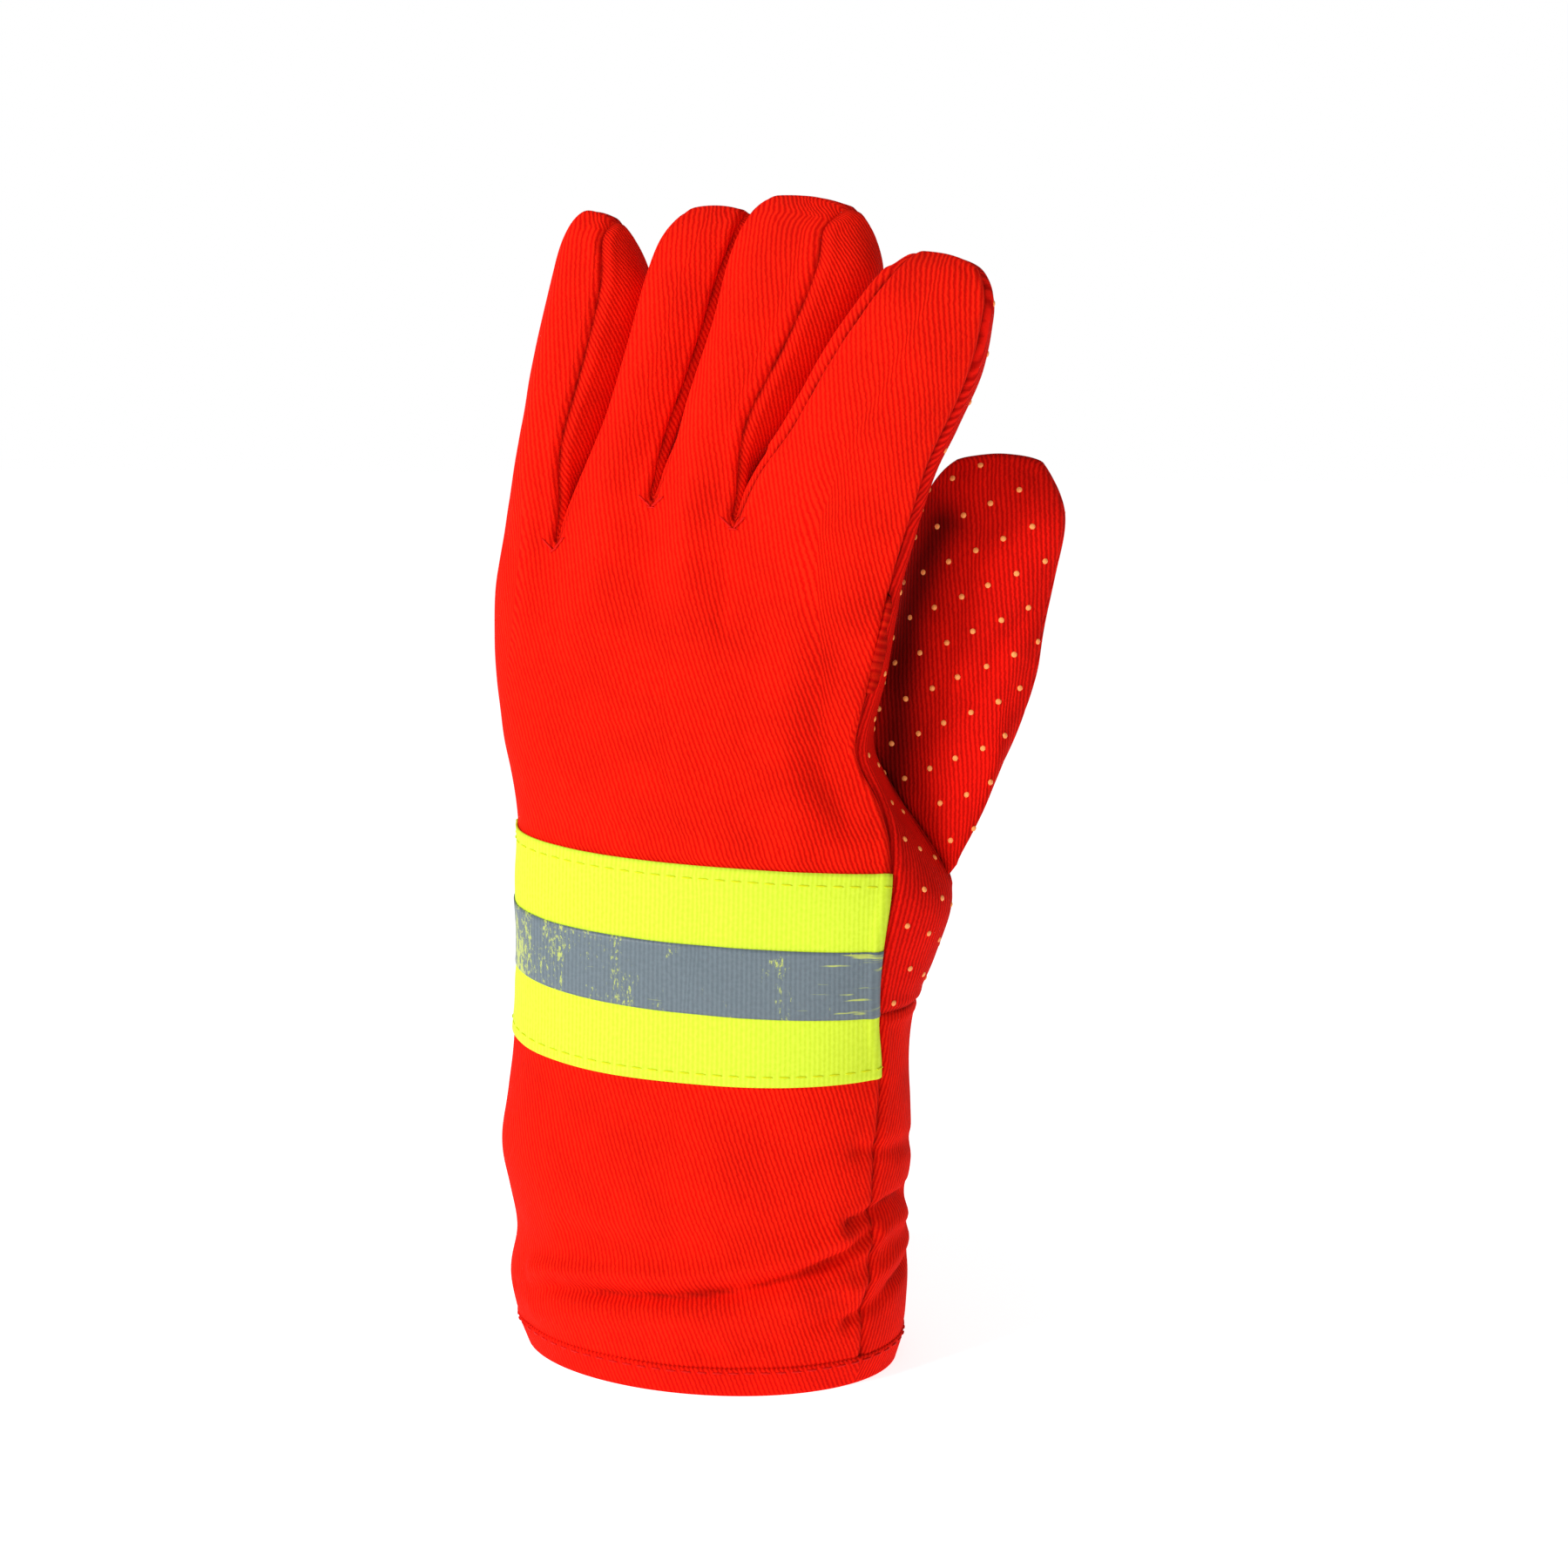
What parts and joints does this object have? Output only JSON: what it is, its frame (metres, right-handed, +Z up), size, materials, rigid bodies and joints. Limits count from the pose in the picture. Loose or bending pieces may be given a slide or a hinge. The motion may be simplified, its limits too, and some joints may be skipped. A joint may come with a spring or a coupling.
{
  "type": "firefighter glove",
  "caption": "Left-hand work glove for firefighters in red cotton twill with a long cuff, a dotted grip palm and a reflective band on the back, standing on its cuff.",
  "frame": {"origin": "middle of the footprint's bounding box, at the height of the cuff's bottom edge", "axes": "+Z up from the cuff to the fingertips, +X to the thumb side, -Y out of the back of the hand"},
  "size_m": [0.1428, 0.0742, 0.2965],
  "materials": {
    "red_twill": "matte twill",
    "dotted_cotton": "matte twill with small raised grip dots",
    "tape_yellow": "fluorescent woven tape",
    "tape_silver": "grey retroreflective coating, worn"
  },
  "bodies": {
    "root": {"back_panel": "red_twill", "palm_panel": "dotted_cotton", "palm_cuff": "red_twill", "cuff_hem": "red_twill", "fourchette_little_ring": "red_twill", "fourchette_ring_middle": "red_twill", "fourchette_middle_index": "red_twill", "thumb_front": "dotted_cotton", "thumb_rear": "dotted_cotton", "tape_yellow": "tape_yellow", "tape_silver": "tape_silver"}
  },
  "joints": []
}
